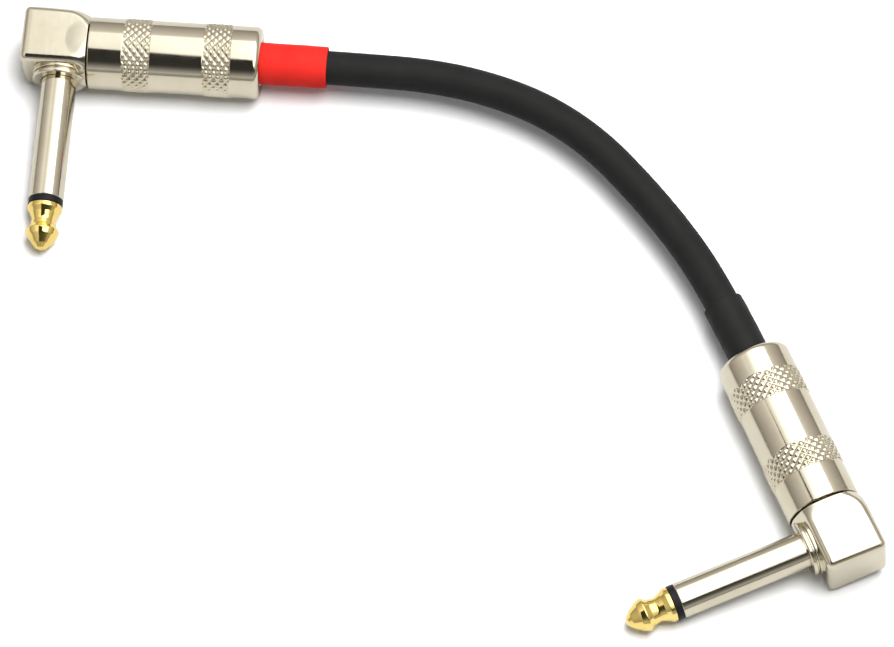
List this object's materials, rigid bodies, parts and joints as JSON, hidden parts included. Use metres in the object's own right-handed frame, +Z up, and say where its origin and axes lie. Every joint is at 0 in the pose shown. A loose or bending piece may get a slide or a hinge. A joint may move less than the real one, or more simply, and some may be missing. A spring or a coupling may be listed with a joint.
{
  "type": "instrument patch cable",
  "caption": "Short screened instrument patch cable with a right-angle plug on each end, screw-on knurled barrels and a coloured sleeve marking one end.",
  "frame": {"origin": "middle of the footprint of the two plugs, on the surface that they lie on", "axes": "+Z up from that surface; +X along the longer side of the footprint, from the plug with the red sleeve towards the plug with the black sleeve; +Y to the side that the first plug lies on"},
  "size_m": [0.1532, 0.1203, 0.0135],
  "materials": {
    "nickel": "bright warm nickel plating",
    "gold": "polished gold plating",
    "brass": "plain brass",
    "tinned_steel": "tinned sheet",
    "solder": "satin solder",
    "copper": "bare copper strands",
    "black_insulator": "gloss black",
    "clear_insulator": "natural plastic",
    "fibre_board": "laminated board",
    "liner_plastic": "thin translucent plastic",
    "jacket": "matt black flexible jacket",
    "carbon_plastic": "matt carbon-loaded plastic",
    "dielectric": "natural polyethylene",
    "red_sleeve": "satin red heat-shrink",
    "black_sleeve": "satin black heat-shrink"
  },
  "bodies": {
    "cable_and_plugs": {"elbow_housing_a": "nickel", "finger_collar_a": "nickel", "sleeve_contact_a": "nickel", "finger_insulator_a": "clear_insulator", "tip_ring_a": "black_insulator", "tip_contact_a": "gold", "tip_rod_a": "brass", "elbow_liner_a": "clear_insulator", "tip_lug_a": "brass", "lug_washer_a": "fibre_board", "ground_strap_a": "tinned_steel", "tip_solder_a": "solder", "ground_solder_a": "solder", "shield_pigtail_a": "copper", "red_heat_shrink_a": "red_sleeve", "elbow_housing_b": "nickel", "finger_collar_b": "nickel", "sleeve_contact_b": "nickel", "finger_insulator_b": "clear_insulator", "tip_ring_b": "black_insulator", "tip_contact_b": "gold", "tip_rod_b": "brass", "elbow_liner_b": "clear_insulator", "tip_lug_b": "brass", "lug_washer_b": "fibre_board", "ground_strap_b": "tinned_steel", "tip_solder_b": "solder", "ground_solder_b": "solder", "shield_pigtail_b": "copper", "black_heat_shrink_b": "black_sleeve", "cable_jacket": "jacket", "cable_shield": "copper", "cable_screen_layer": "carbon_plastic", "cable_dielectric": "dielectric", "cable_core": "copper"},
    "liner_a": {"barrel_liner_a": "liner_plastic"},
    "barrel_a": {"barrel_a": "nickel"},
    "liner_b": {"barrel_liner_b": "liner_plastic"},
    "barrel_b": {"barrel_b": "nickel"}
  },
  "joints": [
    {"name": "barrel_a_travel", "type": "slide", "parent": "cable_and_plugs", "child": "liner_a", "axis": [0.9976, -0.0698, 0], "range_m": [0, 0.006]},
    {"name": "barrel_a_turn", "type": "hinge", "parent": "liner_a", "child": "barrel_a", "pos_m": [-0.04933, 0.05129, 0.00675], "axis": [0.9976, -0.0698, 0], "range_deg": [0, 2700]},
    {"name": "barrel_b_travel", "type": "slide", "parent": "cable_and_plugs", "child": "liner_b", "axis": [-0.3681, 0.9298, 0], "range_m": [0, 0.006]},
    {"name": "barrel_b_turn", "type": "hinge", "parent": "liner_b", "child": "barrel_b", "pos_m": [0.06026, -0.02561, 0.00675], "axis": [-0.3681, 0.9298, 0], "range_deg": [0, 2700]}
  ],
  "couplings": [
    {"joint": "barrel_a_travel", "follows": "barrel_a_turn", "m_per_rad": 0.00012633},
    {"joint": "barrel_b_travel", "follows": "barrel_b_turn", "m_per_rad": 0.00012633}
  ]
}
